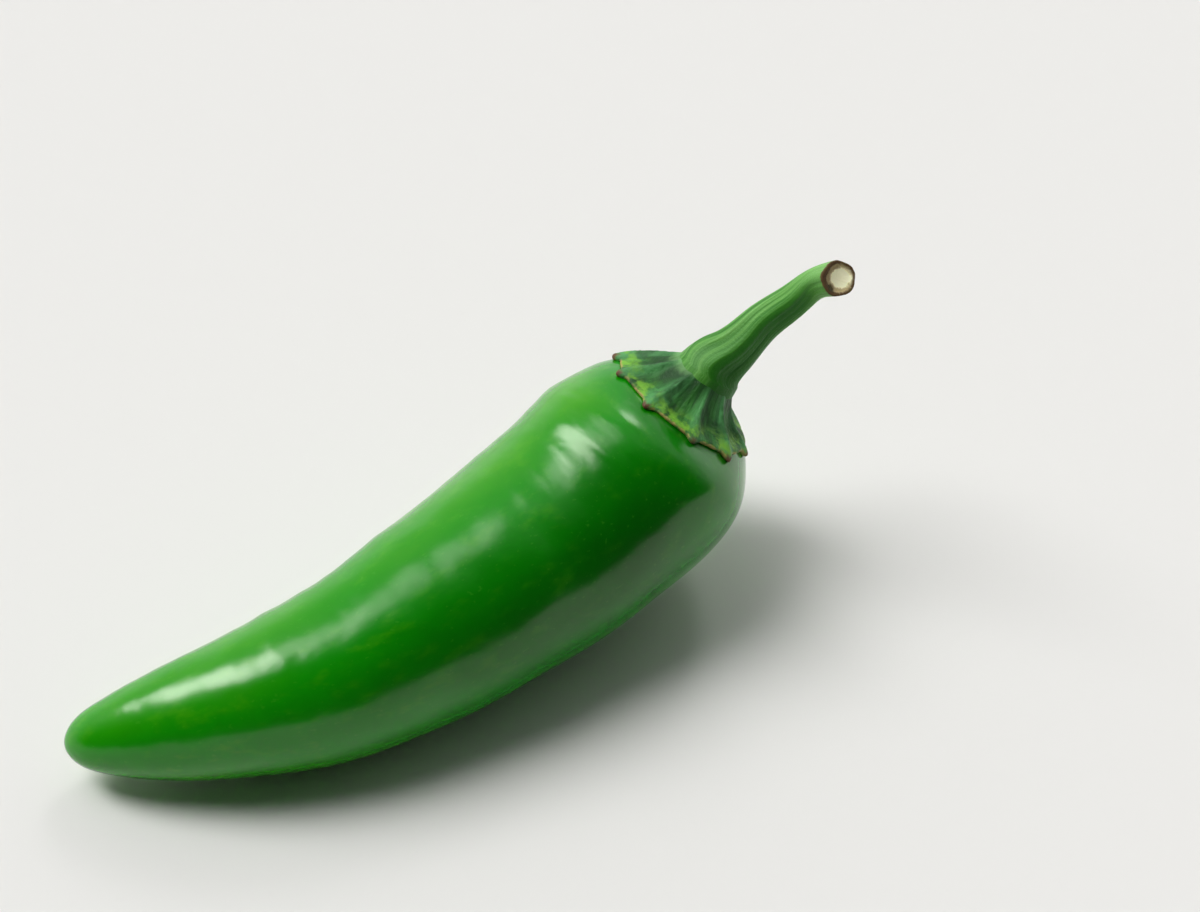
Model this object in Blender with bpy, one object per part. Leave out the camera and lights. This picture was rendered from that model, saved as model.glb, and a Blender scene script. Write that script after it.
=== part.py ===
"""A green chilli pepper as picked, lying on a flat surface.

It has three pieces: the pod, the calyx that caps its shoulder, and the stem that stands on the calyx.
The pod's tip points to -X and its stem end to +X. The underside is at Z = 0, and the origin is in the
middle of the footprint. Sizes below are in millimetres.
"""

import math

import bpy
import numpy as np

MM = 0.001
GAP = 0.3                  # clearance between pieces that touch
UP = np.array([0.0, 0.0, 1.0])

# The pod's axis from the tip to the middle of the calyx. It bends sideways along the surface, and
# turns up at the shoulder.
POD_AXIS = (
    (1.0, 0.0, 6.5),
    (21.5, -8.0, 10.3),
    (40.5, -10.2, 12.2),
    (61.5, -7.4, 14.3),
    (76.3, -4.5, 16.6),
    (84.9, -2.7, 19.9),
    (92.0, -1.35, 25.7),
)
AXIS_END = (0.66, 0.01, 0.75)  # the direction in which the axis leaves the dimple
# The pod's outline as (distance along the axis, radius), from the blunt tip over the shoulder and
# into the dimple under the calyx.
POD_OUTLINE = (
    (0.0, 0.0),
    (1.0, 2.3),
    (4.6, 4.6),
    (13.0, 7.2),
    (28.0, 10.35),
    (46.0, 12.8),
    (64.0, 14.5),
    (79.0, 15.4),
    (86.5, 15.5),
    (91.6, 14.5),
    (95.2, 12.5),
    (97.5, 9.9),
    (98.0, 7.2),
    (97.4, 3.6),
    (96.8, 0.0),
)
POD_SINK = 0.35            # how deep the soft pod is pressed flat where it rests
LOBES = 3                  # seed chambers that show as soft lobes, more so towards the shoulder
LOBE_SWELL = 0.03
LOBE_TURN = math.radians(19)
OVAL_SWELL = 0.012         # the pod is a little wider one way than the other
OVAL_TURN = math.radians(70)
DENT_SWELL = 0.007         # slow dents, as (distance between them along the pod, times round it)
DENTS = ((31.0, 1), (18.2, -2))
ROUND_TIP = 9.0            # radius under which the tip stays round
POD_RINGS = 46
POD_SIDES = 48
RING_CROWDING = 0.6        # how much closer the rings are at the tip and at the dimple

CALYX_RADIUS = 10.0        # from the middle to the rim, measured over the shoulder
CALYX_RIM = 0.65           # thickness of the rim
RIM_ROUND = 0.4            # how far its rounded edge stands out
COLLAR_RADIUS = 4.7        # flat top that the stem stands on
COLLAR_HEIGHT = 6.5        # above the middle of the dimple
CALYX_HOLLOW = 2.2         # how hollow the slope from the collar to the rim is
HOLLOW_CHANGE = 0.75       # more on the side that the stem leans over, less on the other
HOLLOW_TURN = math.radians(-31)
TOOTH_ANGLES = (-40, -3, 31, 72, 110, 143, 182, 226, 274)
TOOTH_SPREAD = 8.5         # degrees from a tooth's middle to its flank
TOOTH_REACH = 1.1          # how far a tooth stands out past the rim
TOOTH_BULGE = 0.4          # how much thicker the rim is at a tooth
RIB_HEIGHT = 0.45          # ribs that run from the collar to the teeth
CALYX_RINGS = 8
CALYX_SIDES = 90

# The stem's axis, measured from the middle of the calyx.
STEM_AXIS = (
    (7.15, -0.7, 7.95),
    (11.05, -1.35, 11.55),
    (14.65, -2.95, 15.1),
    (17.25, -4.75, 18.6),
    (18.65, -8.0, 21.6),
)
# The stem's outline as (share of its length, radius).
STEM_OUTLINE = (
    (0.0, 4.4),
    (0.09, 3.75),
    (0.19, 3.2),
    (0.37, 2.65),
    (0.6, 2.3),
    (0.82, 2.1),
    (0.94, 2.25),
    (1.0, 2.35),
)
STEM_RIDGES = 5
RIDGE_SWELL = (0.08, 0.03)  # at the foot and at the cut
RIDGE_TURN = math.radians(36)
CUT_SLANT = 0.25           # slope of the cut across the stem's end
CUT_TURN = math.radians(112)
SLANT_START = 0.7          # share of the length from where the rings lean into the cut
# The cut face from its edge inwards, as (share of the radius, depth that the pith has shrunk).
CUT_FACE = ((0.86, -0.1), (0.62, 0.33), (0.3, 0.55))
STEM_RINGS = 26
STEM_SIDES = 40

COLOURS = {
    "pod": (0.02, 0.16, 0.008, 1.0),
    "calyx": (0.07, 0.24, 0.03, 1.0),
    "stem": (0.06, 0.25, 0.03, 1.0),
}
ROUGHNESS = {"pod": 0.22, "calyx": 0.5, "stem": 0.4}


class Spline:
    """A cubic curve through points at given knots, straight past both ends."""

    def __init__(self, knots, points, start=None, end=None):
        self.knots = np.asarray(knots, float)
        self.points = np.asarray(points, float).reshape(len(knots), -1)
        step = np.diff(self.knots)
        rise = np.diff(self.points, axis=0) / step[:, None]
        count = len(knots)
        matrix = np.eye(count)
        target = np.zeros_like(self.points)
        for i in range(1, count - 1):
            matrix[i, i - 1:i + 2] = step[i - 1], 2 * (step[i - 1] + step[i]), step[i]
            target[i] = 6 * (rise[i] - rise[i - 1])
        if start is not None:
            matrix[0, :2] = 2 * step[0], step[0]
            target[0] = 6 * (rise[0] - np.asarray(start))
        if end is not None:
            matrix[-1, -2:] = step[-1], 2 * step[-1]
            target[-1] = 6 * (np.asarray(end) - rise[-1])
        self.bend = np.linalg.solve(matrix, target)

    def between(self, where):
        """The point and the slope between the first knot and the last."""
        i = np.clip(np.searchsorted(self.knots, where) - 1, 0, len(self.knots) - 2)
        step = (self.knots[i + 1] - self.knots[i])[..., None]
        b = (where - self.knots[i])[..., None]
        a = step - b
        low, high = self.bend[i], self.bend[i + 1]
        left = self.points[i] / step - low * step / 6
        right = self.points[i + 1] / step - high * step / 6
        value = (low * a**3 + high * b**3) / (6 * step) + left * a + right * b
        slope = (high * b**2 - low * a**2) / (2 * step) + right - left
        return value, slope

    def at(self, where):
        """The point and the slope there."""
        where = np.asarray(where, float)
        held = np.clip(where, self.knots[0], self.knots[-1])
        value, slope = self.between(held)
        return value + slope * (where - held)[..., None], slope


def chord_lengths(points):
    """The distance from the first point to each, along straight lines."""
    steps = np.linalg.norm(np.diff(np.asarray(points, float), axis=0), axis=1)
    return np.concatenate([[0.0], np.cumsum(steps)])


def unit(vectors):
    return vectors / np.linalg.norm(vectors, axis=-1, keepdims=True)


def frame_on(axis, where):
    """The axis's point, direction, and the two directions across it, the second as near up as can be."""
    centre, slope = axis.at(where)
    along = unit(slope)
    side = unit(np.cross(along, UP))
    return centre, along, side, np.cross(side, along)


def smooth_step(value):
    value = np.clip(value, 0.0, 1.0)
    return value * value * (3 - 2 * value)


AXIS = Spline(chord_lengths(POD_AXIS), POD_AXIS, end=AXIS_END)
OUTLINE_LENGTHS = chord_lengths(POD_OUTLINE)
OUTLINE = Spline(OUTLINE_LENGTHS, POD_OUTLINE, start=(0, 1), end=(0, -1))
OUTLINE_END = OUTLINE_LENGTHS[-1]
POD_LENGTH = POD_OUTLINE[-1][0]


def swell(along, radius, angle):
    """How much fuller than round the pod is there."""
    fade = smooth_step(radius / ROUND_TIP)
    lobes = LOBE_SWELL * smooth_step(along / POD_LENGTH) * np.cos(LOBES * (angle - LOBE_TURN))
    oval = OVAL_SWELL * np.cos(2 * (angle - OVAL_TURN))
    dents = sum(np.cos(2 * math.pi * along / length + times * angle) for length, times in DENTS)
    return 1 + fade * (lobes + oval + DENT_SWELL * dents)


def pod_surface(on_outline, angle, lift=0.0):
    """The point at a distance along the pod's outline and an angle round it, lifted off the skin."""
    point, slope = OUTLINE.at(on_outline)
    slope = unit(slope)
    along, radius = point[..., 0], point[..., 1]
    reach = radius * swell(along, radius, angle) + lift * slope[..., 0]
    centre, _, side, up = frame_on(AXIS, along - lift * slope[..., 1])
    across = np.cos(angle)[..., None] * side + np.sin(angle)[..., None] * up
    return centre + reach[..., None] * across


def pressed(points):
    """The points with what would lie under the surface pressed flat onto it."""
    points = points - POD_SINK * UP
    points[..., 2] = np.maximum(points[..., 2], 0.0)
    return points


def circle_angles(sides):
    return np.arange(sides) * 2 * math.pi / sides


def add_solid(name, rings, first_pole, last_pole):
    """A closed solid from rings of points and a point that closes each end."""
    rows, sides = rings.shape[:2]
    points = np.concatenate([[first_pole], rings.reshape(-1, 3), [last_pole]])
    last = len(points) - 1
    faces = []
    for j in range(sides):
        k = (j + 1) % sides
        faces.append((0, 1 + j, 1 + k))
        for i in range(rows - 1):
            low, high = 1 + i * sides, 1 + (i + 1) * sides
            faces.append((low + j, high + j, high + k, low + k))
        faces.append((last, last - sides + k, last - sides + j))
    mesh = bpy.data.meshes.new(name)
    mesh.from_pydata([tuple(p * MM) for p in points], [], faces)
    mesh.shade_smooth()
    mesh.set_sharp_from_angle(angle=math.radians(50))
    obj = bpy.data.objects.new(name, mesh)
    bpy.context.scene.collection.objects.link(obj)
    obj.data.materials.append(plain_material(name))
    return obj


def plain_material(name):
    material = bpy.data.materials.new(name)
    material.use_nodes = True
    shader = material.node_tree.nodes["Principled BSDF"]
    shader.inputs["Base Color"].default_value = COLOURS[name]
    shader.inputs["Roughness"].default_value = ROUGHNESS[name]
    shader.inputs["Metallic"].default_value = 0.0
    return material


def build_pod():
    """The fleshy fruit: blunt tip, swelling body, rounded shoulder and dimple, in one smooth skin."""
    share = np.linspace(0, 1, POD_RINGS + 2)[1:-1]
    share += RING_CROWDING * ((1 - np.cos(math.pi * share)) / 2 - share)
    rows = np.meshgrid(OUTLINE_END * share, circle_angles(POD_SIDES), indexing="ij")
    ends = pressed(pod_surface(np.array([0.0, OUTLINE_END]), np.zeros(2)))
    return add_solid("pod", pressed(pod_surface(*rows)), ends[0], ends[1])


def toothed(angle, spread):
    """1 on the middle of each calyx tooth, falling to 0 between them."""
    total = np.zeros_like(angle)
    for tooth in TOOTH_ANGLES:
        turn = (angle - math.radians(tooth) + math.pi) % (2 * math.pi) - math.pi
        total += np.exp(-((turn / math.radians(spread)) ** 2))
    return total


def collar_middle():
    """The middle of the flat top that the stem stands on."""
    middle, along, _, _ = frame_on(AXIS, POD_LENGTH)
    return middle + COLLAR_HEIGHT * along


def build_calyx():
    """The green cap: a hollow slope from the collar to a thin rim that ends in small blunt teeth."""
    angle = circle_angles(CALYX_SIDES)
    tooth = toothed(angle, TOOTH_SPREAD)
    rib = toothed(angle, 2 * TOOTH_SPREAD)
    rim = CALYX_RADIUS + TOOTH_REACH * tooth
    thick = CALYX_RIM + TOOTH_BULGE * tooth
    middle, along, side, up = frame_on(AXIS, POD_LENGTH)
    across = np.cos(angle)[:, None] * side + np.sin(angle)[:, None] * up

    def skin(share, lift):
        reach = COLLAR_RADIUS + (rim - COLLAR_RADIUS) * share
        return pod_surface(OUTLINE_END - reach, angle, lift)

    collar = collar_middle() + COLLAR_RADIUS * across
    rise = (collar - skin(0.0, GAP + thick)) @ along
    hollow = CALYX_HOLLOW + HOLLOW_CHANGE * np.cos(angle - HOLLOW_TURN)
    top = [collar]
    for share in np.linspace(0, 1, CALYX_RINGS)[1:]:
        slope = (1 - share) ** hollow
        ribs = RIB_HEIGHT * rib * math.sin(math.pi * share)
        top.append(skin(share, GAP + thick + ribs) + (rise * slope)[:, None] * along)
    edge = pod_surface(OUTLINE_END - rim - RIM_ROUND, angle, GAP + thick / 2)
    under = [skin(share, GAP) for share in (1.0, 0.6, 0.2)]
    dimple = pod_surface(np.full_like(angle, OUTLINE_END - COLLAR_RADIUS / 2), angle, GAP)
    rings = pressed(np.stack([*top, edge, *under, dimple]))
    poles = pressed(np.stack([collar_middle(), middle + GAP * along]))
    return add_solid("calyx", rings[::-1], poles[1], poles[0])


def build_stem():
    """The curved, ridged stem: flared where it stands on the calyx, dished where it was cut."""
    middle, along, _, _ = frame_on(AXIS, POD_LENGTH)
    foot = collar_middle() + GAP * along
    route = np.concatenate([[foot], middle + np.array(STEM_AXIS)])
    axis = Spline(chord_lengths(route), route, start=along)
    length = axis.knots[-1]
    outline = Spline(*zip(*STEM_OUTLINE))
    angle = circle_angles(STEM_SIDES)

    def ring(share, scale=1.0, sunk=0.0):
        centre, forward, side, up = frame_on(axis, length * share)
        ridges = np.interp(share, (0, 1), RIDGE_SWELL) * np.cos(STEM_RIDGES * (angle - RIDGE_TURN))
        reach = outline.at(share)[0][0] * scale * (1 + ridges)
        across = np.cos(angle)[:, None] * side + np.sin(angle)[:, None] * up
        lean = CUT_SLANT * smooth_step((share - SLANT_START) / (1 - SLANT_START))
        slant = lean * reach * np.sin(angle - CUT_TURN)
        return centre + reach[:, None] * across + (slant[:, None] - sunk) * forward

    body = [ring(share) for share in np.linspace(0, 1, STEM_RINGS)]
    cut = [ring(1.0, scale, sunk) for scale, sunk in CUT_FACE]
    poles = pressed(np.stack([foot, cut[-1].mean(axis=0)]))
    return add_solid("stem", pressed(np.stack(body + cut)), poles[0], poles[1])


def centre_footprint(objects):
    """Moves the meshes together so that the origin is in the middle of their footprint."""
    corners = np.array([v.co for obj in objects for v in obj.data.vertices])
    middle = (corners.min(axis=0) + corners.max(axis=0)) / 2
    for obj in objects:
        for vertex in obj.data.vertices:
            vertex.co.x -= middle[0]
            vertex.co.y -= middle[1]


def main():
    for obj in list(bpy.data.objects):
        bpy.data.objects.remove(obj, do_unlink=True)
    centre_footprint([build_pod(), build_calyx(), build_stem()])


main()
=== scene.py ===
"""The looks of a green chilli pepper as picked: its pod, calyx and stem, on a plain pale floor.

Lengths are in millimetres up to the moment a piece becomes a mesh, and in metres after it.
"""

import math

import bpy
import numpy as np
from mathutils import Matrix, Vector


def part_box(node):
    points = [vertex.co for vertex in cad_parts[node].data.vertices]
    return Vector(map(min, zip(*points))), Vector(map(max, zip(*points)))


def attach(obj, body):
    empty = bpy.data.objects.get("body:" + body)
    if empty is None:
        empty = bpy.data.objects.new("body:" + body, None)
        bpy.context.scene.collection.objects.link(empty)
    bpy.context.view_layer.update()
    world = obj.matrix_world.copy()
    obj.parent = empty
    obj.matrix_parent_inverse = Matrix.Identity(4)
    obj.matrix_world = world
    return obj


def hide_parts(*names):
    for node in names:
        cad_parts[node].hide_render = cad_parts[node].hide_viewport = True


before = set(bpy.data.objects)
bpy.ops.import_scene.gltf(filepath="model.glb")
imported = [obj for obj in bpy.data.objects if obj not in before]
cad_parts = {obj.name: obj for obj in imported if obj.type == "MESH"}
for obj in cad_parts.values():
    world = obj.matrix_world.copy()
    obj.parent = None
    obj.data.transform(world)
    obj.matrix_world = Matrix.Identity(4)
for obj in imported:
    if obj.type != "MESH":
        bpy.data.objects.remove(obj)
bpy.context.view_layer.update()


# The pod
# The fleshy fruit of the plant: one waxy skin from the blunt tip over the rounded shoulder into the
# dimple under the calyx. It grew in one piece, in three soft lobes, and lies on its own weight here,
# so a small patch of its underside is pressed flat.

MM = 0.001
UP = (0.0, 0.0, 1.0)
POD_AXIS = (
    (1.0, 0.0, 6.5),
    (21.5, -8.0, 10.3),
    (40.5, -10.2, 12.2),
    (61.5, -7.4, 14.3),
    (76.3, -4.5, 16.6),
    (84.9, -2.7, 19.9),
    (92.0, -1.35, 25.7),
)
AXIS_END = (0.66, 0.01, 0.75)  # the direction in which the axis leaves the dimple
# The outline as (distance along the axis, radius).
POD_OUTLINE = (
    (0.0, 0.0),
    (1.0, 2.3),
    (4.6, 4.6),
    (13.0, 7.2),
    (28.0, 10.35),
    (46.0, 12.8),
    (64.0, 14.5),
    (79.0, 15.4),
    (86.5, 15.5),
    (91.6, 14.5),
    (95.2, 12.5),
    (97.5, 9.9),
    (98.0, 7.2),
    (97.4, 3.6),
    (96.8, 0.0),
)
POD_LENGTH = POD_OUTLINE[-1][0]
POD_SINK = 0.35            # how deep the soft pod is pressed flat where it rests
AXIS_SPARE = 10.0          # straight ends of the axis, past the tip and past the dimple
FINE = 900                 # points in a line that a tree reads
LOBES = 3                  # seed chambers
LOBE_TURN = math.radians(19)  # where round the pod the first lobe stands
OVAL_TURN = math.radians(70)  # and where the pod is widest
DENTS = ((31.0, 1), (18.2, -2))  # slow dents, as (distance between them, times round the pod)
ROUND_TIP = 9.0            # radius under which the tip stays round
POD_SIZES = {
    "Sides": 230,
    "Rings": 340,
    "Ring Crowding": 0.6,  # how much closer the rings are at the tip and at the dimple
    "Lobe Swell": 0.03,
    "Oval Swell": 0.012,
    "Dent Swell": 0.007,
    "Ripple Height": 0.30,  # low waves across the pod, which break its highlight up
    "Pucker Height": 0.10,
}
SMOOTH_BELOW = 0.2         # share of those waves that is left on the underside
WAVES_START = (-0.3, 0.5)  # they grow to their full height here, as shares of the radius above the axis
LIT_SHOULDER = (76.0, 96.0)    # the stretch of the axis over which painted light makes the skin lighter again, on the shoulder
SKIN_LIT_SIDES = (-0.5, 0.87, 0.0)  # across the pod, towards both sides, where painted light makes the skin lighter
SIDE_REACH = 15.0          # how far from the axis those sides are

# How large the skin's patterns are, in the two directions across the pod and along it.
RIPPLE_SIZE = (8.0, 8.0, 4.4)
PUCKER_SIZE = (3.4, 3.4, 2.2)
CLOUD_SIZE = (16.0, 16.0, 34.0)
MOTTLE_SIZE = (2.6, 2.6, 5.0)
FLECK_SIZE = (0.55, 0.55, 0.8)
PEEL_SIZE = (0.9, 0.9, 0.9)
PEEL_HEIGHT = 0.010        # height of the finest relief

SKIN_GREEN = (0.003, 0.272, 0.0)
# painted shade: the dark green of the pod's middle, away from the light
SKIN_SHADE = (0.0, 0.108, 0.0)
# the skin's own yellow mottle, and painted light on the lit tip, shoulder and sides
SKIN_YELLOW_AND_LIT = (0.085, 0.400, 0.0)
SKIN_FLECK = (0.09, 0.42, 0.03)
SKIN_SHEEN = (0.92, 1.0, 0.80, 1.0)  # the tint that the wax gives to the gloss


class Spline:
    """A cubic curve through points at given knots, straight past both ends."""

    def __init__(self, knots, points, start=None, end=None):
        self.knots = np.asarray(knots, float)
        self.points = np.asarray(points, float).reshape(len(knots), -1)
        step = np.diff(self.knots)
        rise = np.diff(self.points, axis=0) / step[:, None]
        count = len(knots)
        matrix = np.eye(count)
        target = np.zeros_like(self.points)
        for row in range(1, count - 1):
            matrix[row, row - 1:row + 2] = step[row - 1], 2 * (step[row - 1] + step[row]), step[row]
            target[row] = 6 * (rise[row] - rise[row - 1])
        if start is not None:
            matrix[0, :2] = 2 * step[0], step[0]
            target[0] = 6 * (rise[0] - np.asarray(start))
        if end is not None:
            matrix[-1, -2:] = step[-1], 2 * step[-1]
            target[-1] = 6 * (np.asarray(end) - rise[-1])
        self.bend = np.linalg.solve(matrix, target)

    def at(self, where):
        """The points there."""
        where = np.atleast_1d(np.asarray(where, float))
        held = np.clip(where, self.knots[0], self.knots[-1])
        span = np.clip(np.searchsorted(self.knots, held) - 1, 0, len(self.knots) - 2)
        step = (self.knots[span + 1] - self.knots[span])[:, None]
        done = (held - self.knots[span])[:, None]
        left = step - done
        low, high = self.bend[span], self.bend[span + 1]
        from_low = self.points[span] / step - low * step / 6
        from_high = self.points[span + 1] / step - high * step / 6
        slope = (high * done**2 - low * left**2) / (2 * step) + from_high - from_low
        value = (low * left**3 + high * done**3) / (6 * step) + from_low * left + from_high * done
        return value + slope * (where - held)[:, None]


def chord_lengths(points):
    """The distance from the first point to each, along straight lines."""
    steps = np.linalg.norm(np.diff(np.asarray(points, float), axis=0), axis=1)
    return np.concatenate([[0.0], np.cumsum(steps)])


class Wire:
    """A socket in a node tree. A formula written with wires adds the Math nodes that work it out."""

    def __init__(self, socket):
        self.socket = socket
        self.tree = socket.id_data

    def reckon(self, operation, *values, out=0):
        """What a Math node makes of the values, or a Vector Math node where one of them is a vector."""
        kind = "ShaderNodeMath"
        if any(is_vector(value) for value in values):
            kind = "ShaderNodeVectorMath"
            values = [(value,) * 3 if isinstance(value, (int, float)) else value for value in values]
        return add(self.tree, kind, {"operation": operation}, dict(enumerate(values)), out)

    def __add__(self, other):
        return self.reckon("ADD", self, other)

    def __sub__(self, other):
        return self.reckon("SUBTRACT", self, other)

    def __rsub__(self, other):
        return self.reckon("SUBTRACT", other, self)

    def __mul__(self, other):
        return self.reckon("MULTIPLY", self, other)

    def __truediv__(self, other):
        return self.reckon("DIVIDE", self, other)

    def __rtruediv__(self, other):
        return self.reckon("DIVIDE", other, self)

    def __pow__(self, other):
        return self.reckon("POWER", self, other)

    __radd__ = __add__
    __rmul__ = __mul__

    def over(self, other):
        """The larger of the two."""
        return self.reckon("MAXIMUM", self, other)

    def under(self, other):
        """The smaller of the two."""
        return self.reckon("MINIMUM", self, other)

    def cos(self):
        return self.reckon("COSINE", self)

    def sin(self):
        return self.reckon("SINE", self)

    def unit(self):
        return self.reckon("NORMALIZE", self)

    def length(self):
        return self.reckon("LENGTH", self, out=1)

    def cross(self, other):
        return self.reckon("CROSS_PRODUCT", self, other)

    def dot(self, other):
        return self.reckon("DOT_PRODUCT", self, other, out=1)

    def rise(self, low, high):
        """0 up to `low`, 1 from `high` on, and a soft slope between them."""
        settings = {"interpolation_type": "SMOOTHSTEP"}
        return add(self.tree, "ShaderNodeMapRange", settings, {0: self, 1: low, 2: high})

    def parts(self):
        """The three numbers of a vector."""
        return [add(self.tree, "ShaderNodeSeparateXYZ", {}, {0: self}, out) for out in range(3)]


def is_vector(value):
    return isinstance(value, tuple) or (isinstance(value, Wire) and value.socket.type == "VECTOR")


def add(tree, kind, settings, sockets, out=0):
    """Adds a node, makes its settings, fills its sockets with values or wires, and gives one output."""
    node = tree.nodes.new(kind)
    for name, value in settings.items():
        setattr(node, name, value)
    fill(node, sockets)
    return Wire(node.outputs[out])


def fill(node, sockets):
    """Gives each socket its value, or the link from its wire."""
    for name, value in sockets.items():
        if isinstance(value, Wire):
            node.id_data.links.new(value.socket, node.inputs[name])
        else:
            node.inputs[name].default_value = value


def vector(x, y, z):
    """The vector of three numbers or wires."""
    tree = next(value.tree for value in (x, y, z) if isinstance(value, Wire))
    return add(tree, "ShaderNodeCombineXYZ", {}, {0: x, 1: y, 2: z})


def noise(where, detail=2.0, roughness=0.5):
    """Cloudy noise about one unit in size, from 0 to 1."""
    sockets = {"Vector": where, "Scale": 1.0, "Detail": detail, "Roughness": roughness}
    return add(where.tree, "ShaderNodeTexNoise", {}, sockets)


def blend(share, first, second):
    """The first colour where the share is 0, the second where it is 1."""
    colours = [(*colour, 1.0) if isinstance(colour, tuple) else colour for colour in (first, second)]
    sockets = {0: share, 6: colours[0], 7: colours[1]}
    return add(share.tree, "ShaderNodeMix", {"data_type": "RGBA"}, sockets, out=2)


def surface(name, sockets):
    """A material and its tree, with the same value all over for each socket given."""
    material = bpy.data.materials.new(name)
    material.use_nodes = True
    fill(material.node_tree.nodes["Principled BSDF"], sockets)
    return material, material.node_tree


def finish_surface(tree, sockets, relief, height):
    """Feeds the shader what changes over the surface, and its relief through a bump."""
    bump = add(tree, "ShaderNodeBump", {}, {"Strength": 1.0, "Distance": height * MM, "Height": relief})
    fill(tree.nodes["Principled BSDF"], {**sockets, "Normal": bump})


def stored(tree, name):
    """What the mesh stores under that name."""
    return add(tree, "ShaderNodeAttribute", {"attribute_name": name}, {}, out=1)


def guide(name, points):
    """A line through closely spaced points, for a tree to read."""
    line = bpy.data.curves.new(name, "CURVE")
    line.dimensions = "3D"
    spline = line.splines.new("POLY")
    spline.points.add(len(points) - 1)
    spline.points.foreach_set("co", np.column_stack([points, np.ones(len(points))]).ravel())
    made = bpy.data.objects.new(name, line)
    bpy.context.scene.collection.objects.link(made)
    return made


def read(line, where):
    """The line's point and direction at a distance from its start."""
    points = add(line.tree, "GeometryNodeObjectInfo", {}, {"Object": line}, out=4)
    sockets = {"Curves": points, "Length": where}
    point = add(line.tree, "GeometryNodeSampleCurve", {"mode": "LENGTH"}, sockets, out=1)
    return point, Wire(point.socket.node.outputs[2]).unit()


SOCKET_KINDS = {int: "NodeSocketInt", float: "NodeSocketFloat", bpy.types.Object: "NodeSocketObject"}


def start_tree(name, sizes):
    """A tree with a named input for each size, and the wires that come from them."""
    tree = bpy.data.node_groups.new(name, "GeometryNodeTree")
    tree.interface.new_socket("Geometry", in_out="OUTPUT", socket_type="NodeSocketGeometry")
    for title, value in sizes.items():
        tree.interface.new_socket(title, in_out="INPUT", socket_type=SOCKET_KINDS[type(value)])
    source = tree.nodes.new("NodeGroupInput")
    return tree, {title: Wire(source.outputs[title]) for title in sizes}


def start_ball(tree, size):
    """A closed ball to be shaped, the share of the way from its first pole to its last, and the angle."""
    ball = add(tree, "GeometryNodeMeshUVSphere", {}, {"Segments": size["Sides"], "Rings": size["Rings"]})
    place = add(tree, "GeometryNodeInputPosition", {}, {})
    x, y, z = place.parts()
    share = x.reckon("ARCTAN2", x.reckon("SQRT", x * x + y * y), z) / math.pi
    return ball, share, x.reckon("ARCTAN2", y, x)


def crowded(share, crowding):
    """The same share with more rings near both poles."""
    return share + crowding * ((1 - (math.pi * share).cos()) / 2 - share)


def ring_frame(axis, where):
    """The axis's point, its direction, and the two directions across it."""
    centre, forward = read(axis, where + AXIS_SPARE)
    side = forward.cross(UP).unit()
    return centre, forward, side, side.cross(forward)


def across(side, up, angle):
    """The direction at that angle across the axis."""
    return side * angle.cos() + up * angle.sin()


def swell(size, along, radius, angle):
    """How much fuller than round the pod is there."""
    lobes = size["Lobe Swell"] * along.rise(0.0, POD_LENGTH) * (LOBES * (angle - LOBE_TURN)).cos()
    oval = size["Oval Swell"] * (2 * (angle - OVAL_TURN)).cos()
    dents = sum((2 * math.pi / length * along + times * angle).cos() for length, times in DENTS)
    return 1 + radius.rise(0.0, ROUND_TIP) * (lobes + oval + size["Dent Swell"] * dents)


def skin_place(size, on_outline, angle, lift):
    """The point on the pod's skin, lifted off it, and where it would be if the pod were straight."""
    spot, slope = read(size["Outline"], on_outline)
    along, radius, _ = spot.parts()
    along_slope, out_slope, _ = slope.parts()
    grown = vector(radius * angle.cos(), radius * angle.sin(), along)
    ripple = size["Ripple Height"] * (noise(grown / RIPPLE_SIZE, detail=0.0) - 0.5)
    pucker = size["Pucker Height"] * (noise(grown / PUCKER_SIZE, detail=1.0) - 0.5)
    smoother_below = SMOOTH_BELOW + (1 - SMOOTH_BELOW) * angle.sin().rise(*WAVES_START)
    relief = (ripple + pucker) * radius.rise(0.0, ROUND_TIP) * smoother_below
    reach = radius * swell(size, along, radius, angle) + (lift + relief) * along_slope
    centre, _, side, up = ring_frame(size["Axis"], along - (lift + relief) * out_slope)
    return centre + reach * across(side, up, angle), grown


def pressed(place):
    """The place with what would lie under the floor pressed flat onto it."""
    x, y, z = place.parts()
    return vector(x, y, (z - POD_SINK).over(0.0))


def keep_on(tree, mesh, name, value):
    """Stores a vector on the mesh for its material."""
    sockets = {"Geometry": mesh, "Name": name, "Value": value}
    return add(tree, "GeometryNodeStoreNamedAttribute", {"data_type": "FLOAT_VECTOR"}, sockets)


def grow(name, tree, sizes, mesh, place, stores, material):
    """Ends a tree and turns what it makes into a plain mesh."""
    for title, value in stores.items():
        mesh = keep_on(tree, mesh, title, value)
    mesh = add(tree, "GeometryNodeSetPosition", {}, {"Geometry": mesh, "Position": pressed(place) * MM})
    mesh = add(tree, "GeometryNodeRealizeInstances", {}, {"Geometry": mesh})
    mesh = add(tree, "GeometryNodeSetMaterial", {}, {"Geometry": mesh, "Material": material})
    end = tree.nodes.new("NodeGroupOutput")
    fill(end, {0: mesh})
    piece = bpy.data.objects.new(name, bpy.data.meshes.new(name))
    bpy.context.scene.collection.objects.link(piece)
    modifier = piece.modifiers.new("growth", "NODES")
    modifier.node_group = tree
    for item in tree.interface.items_tree:
        if item.in_out == "INPUT":
            modifier[item.identifier] = sizes[item.name]
    depsgraph = bpy.context.evaluated_depsgraph_get()
    grown = piece.evaluated_get(depsgraph)
    plain = bpy.data.meshes.new_from_object(grown, preserve_all_data_layers=True, depsgraph=depsgraph)
    piece.modifiers.remove(modifier)
    piece.data = plain
    plain.name = name
    plain.shade_smooth()
    return piece


def points_of(piece):
    """The mesh's points, one a row."""
    points = np.zeros(len(piece.data.vertices) * 3)
    piece.data.vertices.foreach_get("co", points)
    return points.reshape(-1, 3)


def move(piece, by):
    """Moves the mesh, so that the object itself stays at the origin."""
    piece.data.vertices.foreach_set("co", (points_of(piece) + by).ravel())
    piece.data.update()


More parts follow.
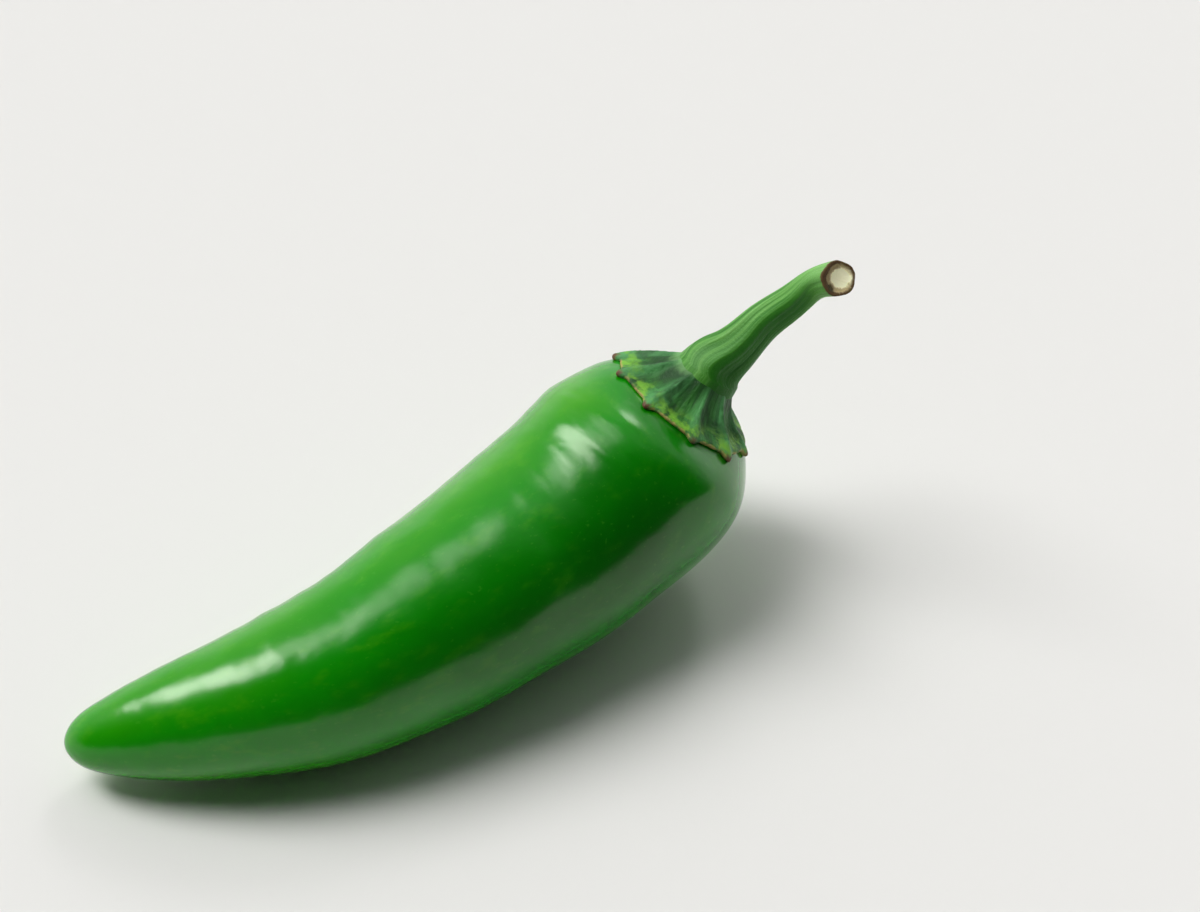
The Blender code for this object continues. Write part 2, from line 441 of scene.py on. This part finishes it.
def waxy_skin():
    """Waxy green skin with pale flecks and yellow mottle, and painted light and shade: darkest in the
    middle, lighter and yellower towards the tip, the shoulder and both sides.
    """
    material, tree = surface("waxy_skin", {
        "IOR": 1.5,
        "Specular Tint": SKIN_SHEEN,
        "Subsurface Weight": 0.1,
        "Subsurface Radius": (0.3, 1.0, 0.1),
        "Subsurface Scale": 0.002,
        "Coat Roughness": 0.11,
        "Coat IOR": 1.45,
    })
    grown = stored(tree, "grown")
    _, _, along = grown.parts()
    off_shaded_middle = grown.dot(SKIN_LIT_SIDES) / SIDE_REACH
    clouds = noise(grown / CLOUD_SIZE, detail=3.0)
    mottle = noise(grown / MOTTLE_SIZE, detail=3.0, roughness=0.6)
    flecks = noise(grown / FLECK_SIZE, detail=1.0).rise(0.66, 0.78)
    peel = noise(grown / PEEL_SIZE)
    # painted light and shade: lighter towards the tip, on the shoulder and to both sides, darkest in the
    # middle; the clouds are the skin's own uneven tone
    light = 0.5 - along / POD_LENGTH + 0.4 * along.rise(*LIT_SHOULDER) + 0.75 * off_shaded_middle ** 2
    light = light + 0.8 * (clouds - 0.5)
    green = light.rise(-0.35, 0.35)
    colour = blend(green, SKIN_SHADE, SKIN_GREEN)
    colour = blend(light.rise(0.25, 0.9) * 0.75, colour, SKIN_YELLOW_AND_LIT)
    colour = blend((mottle - 0.5).rise(0.0, 0.35) * (0.1 + 0.3 * green), colour, SKIN_YELLOW_AND_LIT)
    colour = blend(flecks * 0.14, colour, SKIN_FLECK)
    finish_surface(tree, {
        "Base Color": colour,
        "Roughness": 0.16 + 0.10 * mottle,
        "Coat Weight": 0.30 * clouds.rise(0.35, 0.65),
    }, relief=peel + 0.7 * mottle, height=PEEL_HEIGHT)
    return material


axis_curve = Spline(chord_lengths(POD_AXIS), POD_AXIS, end=AXIS_END)
axis_points = axis_curve.at(np.linspace(-AXIS_SPARE, POD_LENGTH + AXIS_SPARE, FINE))
outline_knots = chord_lengths(POD_OUTLINE)
outline_curve = Spline(outline_knots, POD_OUTLINE, start=(0, 1), end=(0, -1))
outline_points = outline_curve.at(np.linspace(0.0, outline_knots[-1], FINE))
outline_points = np.column_stack([outline_points, np.zeros(FINE)])
OUTLINE_END = float(chord_lengths(outline_points)[-1])
pod_axis = guide("pod_axis", axis_points)
pod_outline = guide("pod_outline", outline_points)

pod_sizes = {"Axis": pod_axis, "Outline": pod_outline, **POD_SIZES}
tree, size = start_tree("pod", pod_sizes)
ball, share, angle = start_ball(tree, size)
on_outline = crowded(share, size["Ring Crowding"]) * OUTLINE_END
place, grown = skin_place(size, on_outline, angle, 0.0)
pod = grow("pod_skin", tree, pod_sizes, ball, place, {"grown": grown}, waxy_skin())

# The pieces grow about the pod's own tip. This moves them to where the solids lie.
corner_sum = np.add(*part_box("pod"))
grown_points = points_of(pod)
TO_FRAME = (corner_sum - grown_points.min(axis=0) - grown_points.max(axis=0)) / 2
TO_FRAME[2] = 0.0
move(pod, TO_FRAME)
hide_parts("pod")
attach(pod, "root")


# The calyx
# The green cap that the flower left on the shoulder: leathery leaf tissue with ribs that run out to
# small teeth, whose tips have dried brown. It grew from the stem and hugs the skin under it.

COLLAR_REACH = 4.4         # radius of the collar that the stem grows from
CALYX_SIZES = {
    "Sides": 380,
    "Rings": 170,
    "Calyx Radius": 10.0,  # from the middle to the rim, measured over the shoulder
    "Rim Thickness": 0.6,
    "Rim Round": 0.45,     # width of the rounded edge
    "Rim Waves": 0.5,
    "Collar Radius": COLLAR_REACH,
    "Tooth Reach": 1.1,
    "Tooth Bulge": 0.2,
    "Rib Height": 0.75,
    "Wrinkle Height": 0.8,
}
COLLAR_HEIGHT = 6.5        # height of the collar's middle over the middle of the dimple
RIB_LEVEL = 0.8            # share of a rib's height that the leaf sinks between the ribs
CALYX_HOLLOW = 2.2         # how hollow the slope from the collar to the rim is
HOLLOW_CHANGE = 0.75       # more on the side that the stem leans over, less on the other
HOLLOW_TURN = math.radians(-31)
CALYX_SUNK = -0.08         # the underside lies this deep in the skin, so that no light shows between
# Each tooth as (degrees round the calyx, length against the others).
TEETH = (
    (-40, 0.9),
    (-3, 1.2),
    (31, 0.8),
    (72, 1.1),
    (110, 1.0),
    (143, 1.2),
    (182, 0.9),
    (226, 1.1),
    (274, 1.0),
)
TOOTH_SPREAD = 4.5         # half the width of a tooth, in degrees
RIB_SPREAD = 14.0          # and of the rib that runs out to it

# How large the patterns along the veins are: two sizes round a circle of radius 1, and one outwards.
VEIN_STREAK_SIZE = (0.16, 0.16, 6.0)
VEIN_BLOTCH_SIZE = (0.45, 0.45, 3.0)
WRINKLE_SIZE = (0.22, 0.22, 4.0)
RIM_WAVE_SIZE = 0.2        # round the same circle
LEAF_FOLD_SIZE = 1.5
LEAF_PATCH_SIZE = 2.2
LEAF_GRAIN_SIZE = 0.35
LEAF_RELIEF = 0.12         # height of the finest relief

LEAF_LIT_SIDE = (-0.64, 0.77, 0.0)  # across the calyx, towards its lit side, where painted light lies at the stem's foot in place of painted shade
LEAF_GREEN = (0.030, 0.210, 0.014)
LEAF_DARK = (0.003, 0.060, 0.004)
# dark green of random blotches, and painted shade round the stem's foot
LEAF_BLOTCH_AND_SHADE = (0.002, 0.045, 0.002)
# painted light: pale green on the lit side of the stem's foot
LEAF_FOOT_LIGHT = (0.24, 0.55, 0.17)
LEAF_YELLOW = (0.21, 0.52, 0.03)
LEAF_PALE = (0.13, 0.46, 0.15)
RIM_TAN = (0.42, 0.30, 0.09)
TOOTH_BROWN = (0.14, 0.062, 0.025)


def toothed(angle, spread):
    """1 on the middle of each tooth, falling to 0 between them."""
    total = 0
    for degrees, length in TEETH:
        turn = angle.reckon("WRAP", angle - math.radians(degrees), math.pi, -math.pi)
        bell = angle.reckon("EXPONENT", -1 * (turn / math.radians(spread)) ** 2)
        total = total + length * bell
    return total


def leathery_leaf():
    """Leaf tissue: grey green, paler on the ribs, yellow green towards the rim, brown on the teeth, with
    painted shade round the stem's foot and painted light on the foot's lit side.
    """
    material, tree = surface("leathery_leaf", {
        "IOR": 1.42,
        "Subsurface Weight": 0.08,
        "Subsurface Radius": (0.4, 1.0, 0.25),
        "Subsurface Scale": 0.001,
    })
    inwards, tooth, rib = stored(tree, "leaf").parts()
    veins = stored(tree, "veins")
    _, _, off_middle = veins.parts()
    spot = add(tree, "ShaderNodeTexCoord", {}, {}, out=3) / MM
    streaks = noise(veins / VEIN_STREAK_SIZE, detail=3.0, roughness=0.6)
    patches = noise(spot / LEAF_PATCH_SIZE, detail=3.0, roughness=0.6)
    blotches = noise(veins / VEIN_BLOTCH_SIZE, detail=3.0, roughness=0.6)
    grain = noise(spot / LEAF_GRAIN_SIZE, detail=3.0, roughness=0.6)
    colour = blend(streaks.rise(0.30, 0.70), LEAF_DARK, LEAF_GREEN)
    colour = blend((rib * 0.5 + streaks * 0.8).rise(0.55, 1.1) * 0.7, colour, LEAF_PALE)
    colour = blend(blotches.rise(0.46, 0.64) * inwards.rise(0.8, 2.4) * 0.7, colour, LEAF_BLOTCH_AND_SHADE)
    near_rim = 1 - (inwards + 2.4 * (patches - 0.5)).rise(0.8, 3.6)
    colour = blend(near_rim * patches.rise(0.42, 0.62) * 0.9, colour, LEAF_YELLOW)
    # painted shade round the stem's foot, lighter on the ribs, and painted light on the foot's lit side
    leaf_lit_side = veins.dot(LEAF_LIT_SIDE).rise(-0.1, 0.8)
    past_foot = off_middle - COLLAR_REACH + 1.6 * (patches - 0.5) - 1.8 * leaf_lit_side
    between_ribs = 1 - 0.5 * rib.under(1.0)
    colour = blend((1 - past_foot.rise(0.0, 2.0)) * between_ribs * 0.85, colour, LEAF_BLOTCH_AND_SHADE)
    colour = blend((1 - past_foot.rise(-1.3, -0.3)) * leaf_lit_side * (0.2 + 0.6 * streaks), colour, LEAF_FOOT_LIGHT)
    edge = 1 - (inwards + 0.5 * (grain - 0.5)).rise(0.08, 0.26)
    colour = blend(edge * patches.rise(0.38, 0.55) * 0.85, colour, RIM_TAN)
    tip = tooth.rise(0.5, 0.95) * (1 - (inwards + 0.8 * (grain - 0.5)).rise(0.3, 0.9))
    colour = blend(tip, colour, TOOTH_BROWN)
    finish_surface(tree, {
        "Base Color": colour,
        "Roughness": 0.42 + 0.25 * grain,
    }, relief=grain + 1.5 * streaks, height=LEAF_RELIEF)
    return material


# The middle of the dimple, and the direction in which the pod's axis leaves it.
middle, forward_end = [axis_curve.at(POD_LENGTH + step)[0] for step in (0.0, 0.1)]
along_end = (forward_end - middle) / np.linalg.norm(forward_end - middle)
collar_middle = middle + COLLAR_HEIGHT * along_end
onwards = tuple(along_end)

calyx_sizes = {**pod_sizes, **CALYX_SIZES}
tree, size = start_tree("calyx", calyx_sizes)
ball, share, angle = start_ball(tree, size)
round_about = vector(angle.cos(), angle.sin(), 0.0)
tooth = toothed(angle, TOOTH_SPREAD)
rib = toothed(angle, RIB_SPREAD)
rim_waves = size["Rim Waves"] * (noise(round_about / RIM_WAVE_SIZE) - 0.5)
rim = size["Calyx Radius"] + size["Tooth Reach"] * tooth + rim_waves
outer = rim + size["Rim Round"]
collar = size["Collar Radius"]

# The ball's first half becomes the underside, from the middle of the dimple out to the rim, and its
# second half the upper side, from the rim back up to the stem.
is_top = share.reckon("GREATER_THAN", share, 0.5)
fold = 1 - 2 * share.reckon("ABSOLUTE", share - 0.5)
reach = outer * (fold * (math.pi / 2)).sin()
inwards = outer - reach
slope_share = ((reach - collar) / (rim - collar)).over(0.0).under(1.0)
veins = vector(angle.cos(), angle.sin(), reach)

rounding = 1 - (inwards / size["Rim Round"]).under(1.0)
nose = (1 - rounding ** 2).over(0.0) ** 0.5
thick = size["Rim Thickness"] + size["Tooth Bulge"] * tooth - CALYX_SUNK
wrinkle = noise(veins / WRINKLE_SIZE) + 0.4 * noise(veins * reach / LEAF_FOLD_SIZE) - 0.7
relief = size["Rib Height"] * (rib - RIB_LEVEL) + size["Wrinkle Height"] * wrinkle
relief = relief * (slope_share * math.pi).sin()
lift = CALYX_SUNK + thick * (0.5 + nose * (is_top - 0.5)) + relief * is_top

# The upper side follows the skin and stands higher over it the nearer it is to the collar. Inside the
# collar it runs straight to the collar's middle.
held = reach.over(collar * is_top)
on_skin, _ = skin_place(size, OUTLINE_END - held, angle, lift)
collar_skin, _ = skin_place(size, OUTLINE_END - collar, angle, thick)
hollow = CALYX_HOLLOW + HOLLOW_CHANGE * (angle - HOLLOW_TURN).cos()
height = (tuple(collar_middle) - collar_skin).dot(onwards) * (1 - slope_share) ** hollow
slope = on_skin + onwards * height
top = tuple(collar_middle) + (slope - tuple(collar_middle)) * (reach / collar).under(1.0)
place = on_skin + (top - on_skin) * is_top
stores = {"leaf": vector(inwards, tooth, rib), "veins": veins}
calyx = grow("calyx_leaf", tree, calyx_sizes, ball, place, stores, leathery_leaf())
move(calyx, TO_FRAME)
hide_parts("calyx")
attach(calyx, "root")


# The stem
# The stalk that the pod hung by: five soft ridges, flared where it grows into the calyx, and cut across
# with scissors at its end, where a brown bark ring stands round the shrunken cream pith.

# The axis, measured from the middle of the calyx.
STEM_AXIS = (
    (7.15, -0.7, 7.95),
    (11.05, -1.35, 11.55),
    (14.65, -2.95, 15.1),
    (17.25, -4.75, 18.6),
    (18.65, -8.0, 21.6),
)
# The outline as (share of the length, radius). It starts inside the calyx.
STEM_OUTLINE = (
    (-0.06, 4.6),
    (-0.03, 4.52),
    (0.0, 4.4),
    (0.09, 3.75),
    (0.19, 3.2),
    (0.37, 2.65),
    (0.6, 2.3),
    (0.82, 2.1),
    (0.94, 2.25),
    (1.0, 2.35),
)
# The cut face as (share of the radius, depth that the pith has shrunk).
CUT_FACE = ((1.0, 0.0), (0.95, -0.16), (0.86, -0.12), (0.74, 0.15), (0.6, 0.34), (0.3, 0.5), (0.0, 0.55))
STEM_FOOT = 0.3            # how far above the calyx's top the axis starts
STEM_SIZES = {
    "Sides": 200,
    "Rings": 300,
    "Foot Ridges": 0.08,   # height of the ridges as a share of the radius
    "Cut Ridges": 0.03,
    "Groove Depth": 0.2,
    "Cut Slant": 0.25,
}
RIDGES = 5
RIDGE_TURN = math.radians(36)  # where round the stem the first ridge stands
FOOT_BLEND = (-0.5, 3.0)   # the ridges rise out of the calyx over this stretch of the axis
GROOVED_RADIUS = 2.6       # the grooves are as deep as given where the stem is this thick
CUT_TURN = math.radians(112)  # the slanted cut stands furthest out a quarter turn on from here
SLANT_START = 0.7          # share of the stem's length from where its rings lean into the slanted cut
PALE_END = 9.0             # length of the paler stretch before the cut
SHADED_FOOT = 7.0            # length of the stretch from the foot that is painted darker, as painted shade
BARK_EDGE = (-0.35, 0.0)   # the brown of the cut begins this far round its edge
PITH_MIDDLE = (-0.5, -0.2, 0.0)  # the pith is off the middle of the cut
PITH_EDGE = (1.1, 1.55)    # it fades between these radii
THICK_BARK = (0.37, 0.22, 0.0)  # the bark is thicker on this side
CUT_SHADOW_MIDDLE = (1.45, -0.55, 0.0)  # painted shadow: a dark spot inside the bark ring, between the pith and the bark
CUT_SHADOW_EDGE = (0.3, 0.8)

# How large the patterns along the bark are: two sizes round a circle of radius 1, and one along it.
BARK_STREAK_SIZE = (0.2, 0.2, 24.0)
GROOVE_SIZE = (0.22, 0.22, 30.0)
BARK_GRAIN_SIZE = 0.4
BARK_RELIEF = 0.10         # height of the finest relief

# The side painted lighter, as painted light, and the side painted darker, as painted shade, as directions
# across the stem.
STALK_LIT_SIDE = (-0.26, 0.97, 0.0)
STALK_SHADE_SIDE = (0.99, 0.14, 0.0)

STALK_GREEN = (0.050, 0.265, 0.008)
STALK_LINE = (0.022, 0.175, 0.008)
# painted shade on the stem's shaded side and round its foot
STALK_SHADE = (0.010, 0.150, 0.0)
STALK_PALE = (0.25, 0.56, 0.15)
CUT_BARK = (0.115, 0.062, 0.022)
CUT_FLESH = (0.50, 0.40, 0.20)
CUT_PITH = (0.95, 0.93, 0.66)
# painted shadow inside the cut's bark ring
CUT_SHADOW = (0.045, 0.035, 0.012)
PITH_PAINTED_LIGHT = (0.18, 0.175, 0.10)  # painted light: a glow of the pith's own, though it is no lamp


def stalk_and_cut():
    """Ridged green bark with pale streaks, painted light on its lit side and painted shade on its other
    side and round its foot, and the cut with its brown ring, its cream pith with a painted glow, and a
    painted shadow inside the ring.
    """
    material, tree = surface("stalk", {
        "IOR": 1.38,
        "Emission Strength": 1.0,
        "Subsurface Weight": 0.08,
        "Subsurface Radius": (0.4, 1.0, 0.25),
        "Subsurface Scale": 0.001,
    })
    bark = stored(tree, "bark")
    _, _, along = bark.parts()
    cut = stored(tree, "cut")
    _, _, past = cut.parts()
    spot = add(tree, "ShaderNodeTexCoord", {}, {}, out=3) / MM
    streaks = noise(bark / BARK_STREAK_SIZE, detail=3.0, roughness=0.6)
    grain = noise(spot / BARK_GRAIN_SIZE, detail=3.0, roughness=0.6)
    colour = blend(streaks.rise(0.28, 0.62), STALK_LINE, STALK_GREEN)
    colour = blend(streaks.rise(0.52, 0.80) * 0.75, colour, STALK_PALE)
    near_end = along.rise(STEM_LENGTH - PALE_END, STEM_LENGTH)
    colour = blend(near_end * 0.55, colour, STALK_PALE)
    # painted light on the stem's lit side, and painted shade on its shaded side and round its foot
    lit_side = bark.dot(STALK_LIT_SIDE)
    colour = blend(lit_side.rise(0.1, 0.9) * 0.5 * streaks.rise(0.32, 0.68), colour, STALK_PALE)
    shade_side = bark.dot(STALK_SHADE_SIDE).rise(0.65, 1.0) * (1 - 0.7 * near_end)
    colour = blend(shade_side * 0.7, colour, STALK_SHADE)
    near_foot = 1 - along.rise(0.0, SHADED_FOOT)
    colour = blend(near_foot * (1 - lit_side.rise(0.0, 0.8)) * 0.8, colour, STALK_SHADE)
    on_cut = (past + 0.5 * (grain - 0.5)).rise(*BARK_EDGE)
    colour = blend(on_cut, colour, CUT_BARK)
    inside_bark = past - cut.dot(THICK_BARK).over(0.0) + 0.8 * (grain - 0.5)
    colour = blend(inside_bark.rise(0.35, 0.8), colour, CUT_FLESH)
    face_spot = cut * (1.0, 1.0, 0.0)
    off_pith = (face_spot - PITH_MIDDLE).length() + 0.7 * (grain - 0.5)
    pith = (1 - off_pith.rise(*PITH_EDGE)) * on_cut
    colour = blend(pith, colour, CUT_PITH)
    # painted shadow: a dark spot on the cut, inside the bark ring
    off_cut_shadow = (face_spot - CUT_SHADOW_MIDDLE).length() + 0.6 * (grain - 0.5)
    cut_shadow = (1 - off_cut_shadow.rise(*CUT_SHADOW_EDGE)) * on_cut
    colour = blend(cut_shadow * 0.9, colour, CUT_SHADOW)
    finish_surface(tree, {
        "Base Color": colour,
        "Roughness": 0.40 + 0.2 * grain + 0.2 * on_cut,
        # painted light: the pith glows by itself
        "Emission Color": blend(pith, (0.0, 0.0, 0.0), PITH_PAINTED_LIGHT),
    }, relief=grain + 1.5 * streaks, height=BARK_RELIEF)
    return material


foot = collar_middle + STEM_FOOT * along_end
route = np.concatenate([[foot], middle + np.array(STEM_AXIS)])
stem_knots = chord_lengths(route)
STEM_LENGTH = float(stem_knots[-1])
stem_curve = Spline(stem_knots, route, start=along_end)
stem_axis = guide("stem_axis", stem_curve.at(np.linspace(-AXIS_SPARE, STEM_LENGTH + AXIS_SPARE, FINE)))

# The outline of one side, from the middle of the foot along the bark and over the cut to its middle.
body_share = np.linspace(STEM_OUTLINE[0][0], 1.0, FINE)
body_radius = Spline(*zip(*STEM_OUTLINE)).at(body_share)[:, 0]
face_knots = chord_lengths(CUT_FACE)
face = Spline(face_knots, CUT_FACE).at(np.linspace(0.0, face_knots[-1], FINE // 4))[1:]
face_side = np.column_stack([STEM_LENGTH - face[:, 1], body_radius[-1] * face[:, 0], 0 * face[:, 0]])
body_side = np.column_stack([STEM_LENGTH * body_share, body_radius, 0 * body_share])
foot_middle = [[STEM_LENGTH * body_share[0], 0.0, 0.0]]
stem_side = np.concatenate([foot_middle, body_side, face_side])
stem_side[-1, 1] = 0.0  # exactly on the axis, so that the face is closed
SIDE_END = float(chord_lengths(stem_side)[-1])
CUT_EDGE = float(chord_lengths(stem_side)[len(body_side)])
stem_outline = guide("stem_outline", stem_side)

stem_sizes = {"Axis": stem_axis, "Outline": stem_outline, **STEM_SIZES}
tree, size = start_tree("stem", stem_sizes)
ball, share, angle = start_ball(tree, size)
on_outline = share * SIDE_END
spot, _ = read(size["Outline"], on_outline)
along, radius, _ = spot.parts()
stem_share = along / STEM_LENGTH
ridge_height = size["Foot Ridges"] + (size["Cut Ridges"] - size["Foot Ridges"]) * stem_share
bark = vector(angle.cos(), angle.sin(), along)
grooves = size["Groove Depth"] * (noise(bark / GROOVE_SIZE) - 0.5)
ridges = ridge_height * (RIDGES * (angle - RIDGE_TURN)).cos() + grooves / GROOVED_RADIUS
reach = radius * (1 + along.rise(*FOOT_BLEND) * ridges)
slant = size["Cut Slant"] * stem_share.rise(SLANT_START, 1.0) * reach * (angle - CUT_TURN).sin()
centre, forward, side, up = ring_frame(size["Axis"], along)
place = centre + reach * across(side, up, angle) + forward * slant
cut = vector(reach * angle.cos(), reach * angle.sin(), on_outline - CUT_EDGE)
stem = grow("stem_stalk", tree, stem_sizes, ball, place, {"bark": bark, "cut": cut}, stalk_and_cut())
move(stem, TO_FRAME)
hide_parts("stem")
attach(stem, "root")

# The lines that the trees read have done their work.
for line in (pod_axis, pod_outline, stem_axis, stem_outline):
    bpy.data.objects.remove(line, do_unlink=True)


# The floor, the light and the camera
# A plain pale studio floor in soft light: a large softbox high behind the tip, a faint one overhead, a
# small one behind the stem, and a pale room that is darker on the camera's side. The camera looks down on
# the pepper from its tip's side.

FLOOR_WIDTH = 6.0
FLOOR_PAINT = (0.80, 0.785, 0.755, 1.0)
AIM = (0.03389, 0.02426, -0.00085)  # the point in the middle of the camera's view
CAMERA_AZIMUTH = math.radians(-29)
CAMERA_HEIGHT = math.radians(45)
CAMERA_DISTANCE = 0.4796
LENS = 100.0
# Each softbox as (towards it, along it, half its length, half its width, brightness at its middle).
SOFTBOXES = (
    ((-0.41, 0.38, 0.84), (-0.33, 0.94, 0.0), 0.48, 0.23, 12.0),
    ((-0.08, 0.29, 0.95), (0.0, 1.0, 0.0), 0.28, 0.24, 3.2),
    ((0.55, 0.47, 0.69), (0.0, 0.0, 1.0), 0.16, 0.13, 9.0),
)
SOFTBOX_FADE = (0.1, 1.0)  # a softbox fades between these, as squares of shares of its half sizes
ROOM_WHITE = (0.98, 0.99, 1.0, 1.0)
ROOM_BACK = 0.57           # brightness of the room behind the pepper
ROOM_FRONT = 0.02          # and on the camera's side
ROOM_WALL = 0.4            # how much brighter the far wall is near the floor
ROOM_TURN = (-0.25, 0.35)  # the room turns from its dark side to its pale one between these
WALL_TOP = (0.1, 0.5)      # and the far wall's own light fades between these heights

scene = bpy.context.scene
floor_mesh = bpy.data.meshes.new("floor")
half = FLOOR_WIDTH / 2
corners = [(-half, -half, 0.0), (half, -half, 0.0), (half, half, 0.0), (-half, half, 0.0)]
floor_mesh.from_pydata(corners, [], [(0, 1, 2, 3)])
floor = bpy.data.objects.new("floor", floor_mesh)
scene.collection.objects.link(floor)
paint, _ = surface("floor_paint", {"Base Color": FLOOR_PAINT, "Roughness": 0.9, "Specular IOR Level": 0.1})
floor_mesh.materials.append(paint)

towards_camera = Vector((
    math.sin(CAMERA_AZIMUTH) * math.cos(CAMERA_HEIGHT),
    -math.cos(CAMERA_AZIMUTH) * math.cos(CAMERA_HEIGHT),
    math.sin(CAMERA_HEIGHT),
))
room = bpy.data.worlds.new("room")
scene.world = room
room.use_nodes = True
looking = add(room.node_tree, "ShaderNodeTexCoord", {}, {}, out=0)
away = looking.dot((-towards_camera.x, -towards_camera.y, 0.0)).rise(*ROOM_TURN)
wall = away * (1 - looking.parts()[2].rise(*WALL_TOP))
glow = ROOM_FRONT + (ROOM_BACK - ROOM_FRONT) * away + ROOM_WALL * wall
for towards, lengthwise, half_length, half_width, light in SOFTBOXES:
    towards = Vector(towards).normalized()
    lengthwise = Vector(lengthwise) - Vector(lengthwise).dot(towards) * towards
    lengthwise.normalize()
    off_length = looking.dot(tuple(lengthwise)) / half_length
    off_width = looking.dot(tuple(towards.cross(lengthwise))) / half_width
    glow = glow + light * (1 - (off_length ** 2 + off_width ** 2).rise(*SOFTBOX_FADE))
fill(room.node_tree.nodes["Background"], {"Color": ROOM_WHITE, "Strength": glow})

optics = bpy.data.cameras.new("camera")
optics.lens = LENS
camera = bpy.data.objects.new("camera", optics)
camera.location = Vector(AIM) + towards_camera * CAMERA_DISTANCE
camera.rotation_euler = towards_camera.to_track_quat("Z", "Y").to_euler()
scene.collection.objects.link(camera)
scene.camera = camera
scene.view_settings.view_transform = "Standard"
